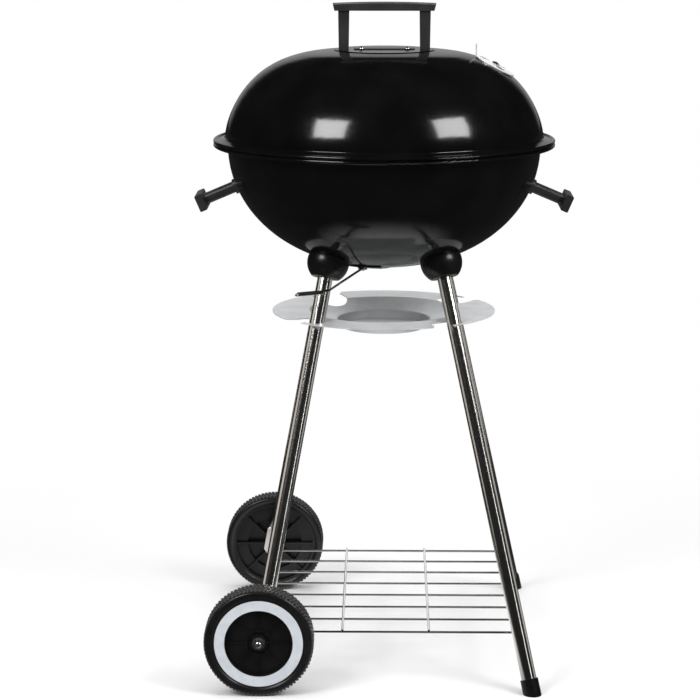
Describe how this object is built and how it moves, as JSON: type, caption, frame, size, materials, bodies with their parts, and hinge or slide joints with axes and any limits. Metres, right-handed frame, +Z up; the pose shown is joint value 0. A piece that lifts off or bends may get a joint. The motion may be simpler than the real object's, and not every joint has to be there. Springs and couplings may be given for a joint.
{
  "type": "kettle charcoal grill",
  "caption": "Kettle charcoal grill: domed lid over a bowl on splayed tube legs, with wheels on one side, a wire shelf, an ash tray and turning air dampers.",
  "frame": {"origin": "on the ground under the kettle's axis, at the bottom centre of the whole grill's box", "axes": "+Z up, -Y the front, wheels on the -X side and feet on the +X side"},
  "size_m": [0.4876, 0.511, 0.844],
  "materials": {
    "black_enamel": "gloss",
    "black_painted_sheet": "satin",
    "handle_plastic": "matt",
    "black_plastic": "satin",
    "polished_steel": "polished",
    "chromed_wire": "polished",
    "zinc_plated_steel": "plated",
    "damper_aluminium": "bright",
    "galvanised_sheet": "satin",
    "wheel_plastic": "semi-gloss",
    "tyre_plastic": "satin",
    "trim_plastic": "satin"
  },
  "bodies": {
    "stand": {"bowl": "black_enamel", "side_handle_left": "handle_plastic", "side_handle_right": "handle_plastic", "side_handle_screws": "zinc_plated_steel", "leg_socket_front_left": "black_plastic", "leg_socket_rear_left": "black_plastic", "leg_socket_front_right": "black_plastic", "leg_socket_rear_right": "black_plastic", "leg_front_left": "polished_steel", "leg_rear_left": "polished_steel", "leg_front_right": "polished_steel", "leg_rear_right": "polished_steel", "leg_bolts": "zinc_plated_steel", "leg_plugs": "zinc_plated_steel", "foot_cap_front": "black_plastic", "foot_cap_rear": "black_plastic", "axle": "zinc_plated_steel", "axle_washers": "zinc_plated_steel", "axle_nuts": "zinc_plated_steel", "bottom_rack": "chromed_wire", "cooking_grate_tabs": "zinc_plated_steel", "charcoal_grate_tabs": "zinc_plated_steel", "damper_pivot_rivet": "zinc_plated_steel"},
    "charcoal_grate": {"charcoal_grate": "chromed_wire"},
    "cooking_grate": {"cooking_grate": "chromed_wire", "cooking_grate_grips": "chromed_wire"},
    "lid": {"lid": "black_enamel", "lid_handle": "handle_plastic", "lid_handle_screws": "zinc_plated_steel", "lid_handle_washers": "zinc_plated_steel", "handle_heat_shield": "black_painted_sheet", "heat_shield_screws": "zinc_plated_steel", "heat_shield_nuts": "zinc_plated_steel", "lid_damper_rivet": "zinc_plated_steel"},
    "lid_damper": {"lid_damper": "damper_aluminium"},
    "bottom_damper": {"damper_blade": "black_painted_sheet", "damper_lever": "chromed_wire", "lever_rivet": "zinc_plated_steel"},
    "ash_tray": {"ash_tray": "galvanised_sheet"},
    "wheel_front": {"wheel_front": "wheel_plastic", "tyre_front": "tyre_plastic", "trim_ring_front": "trim_plastic"},
    "wheel_rear": {"wheel_rear": "wheel_plastic", "tyre_rear": "tyre_plastic", "trim_ring_rear": "trim_plastic"}
  },
  "joints": [
    {"name": "wheel_front_spin", "type": "hinge", "parent": "stand", "child": "wheel_front", "pos_m": [-0.154, -0.23225, 0.0685], "axis": [0, 1, 0], "continuous": true},
    {"name": "wheel_rear_spin", "type": "hinge", "parent": "stand", "child": "wheel_rear", "pos_m": [-0.154, 0.23225, 0.0685], "axis": [0, 1, 0], "continuous": true},
    {"name": "charcoal_grate_lift", "type": "slide", "parent": "stand", "child": "charcoal_grate", "axis": [0, 0, 1], "range_m": [0, 0.12]},
    {"name": "cooking_grate_lift", "type": "slide", "parent": "charcoal_grate", "child": "cooking_grate", "axis": [0, 0, 1], "range_m": [0, 0.15]},
    {"name": "lid_lift", "type": "slide", "parent": "cooking_grate", "child": "lid", "axis": [0, 0, 1], "range_m": [0, 0.3]},
    {"name": "lid_damper_turn", "type": "hinge", "parent": "lid", "child": "lid_damper", "pos_m": [0.14122, -0.01484, 0.76556], "axis": [0.4661, -0.049, 0.8834], "range_deg": [0, 60]},
    {"name": "bottom_damper_swing", "type": "hinge", "parent": "stand", "child": "bottom_damper", "pos_m": [0, 0, 0.504], "axis": [0, 0, 1], "range_deg": [0, 46]},
    {"name": "ash_tray_twist", "type": "hinge", "parent": "stand", "child": "ash_tray", "pos_m": [0, 0, 0.446], "axis": [0, 0, 1], "range_deg": [0, 10]}
  ]
}
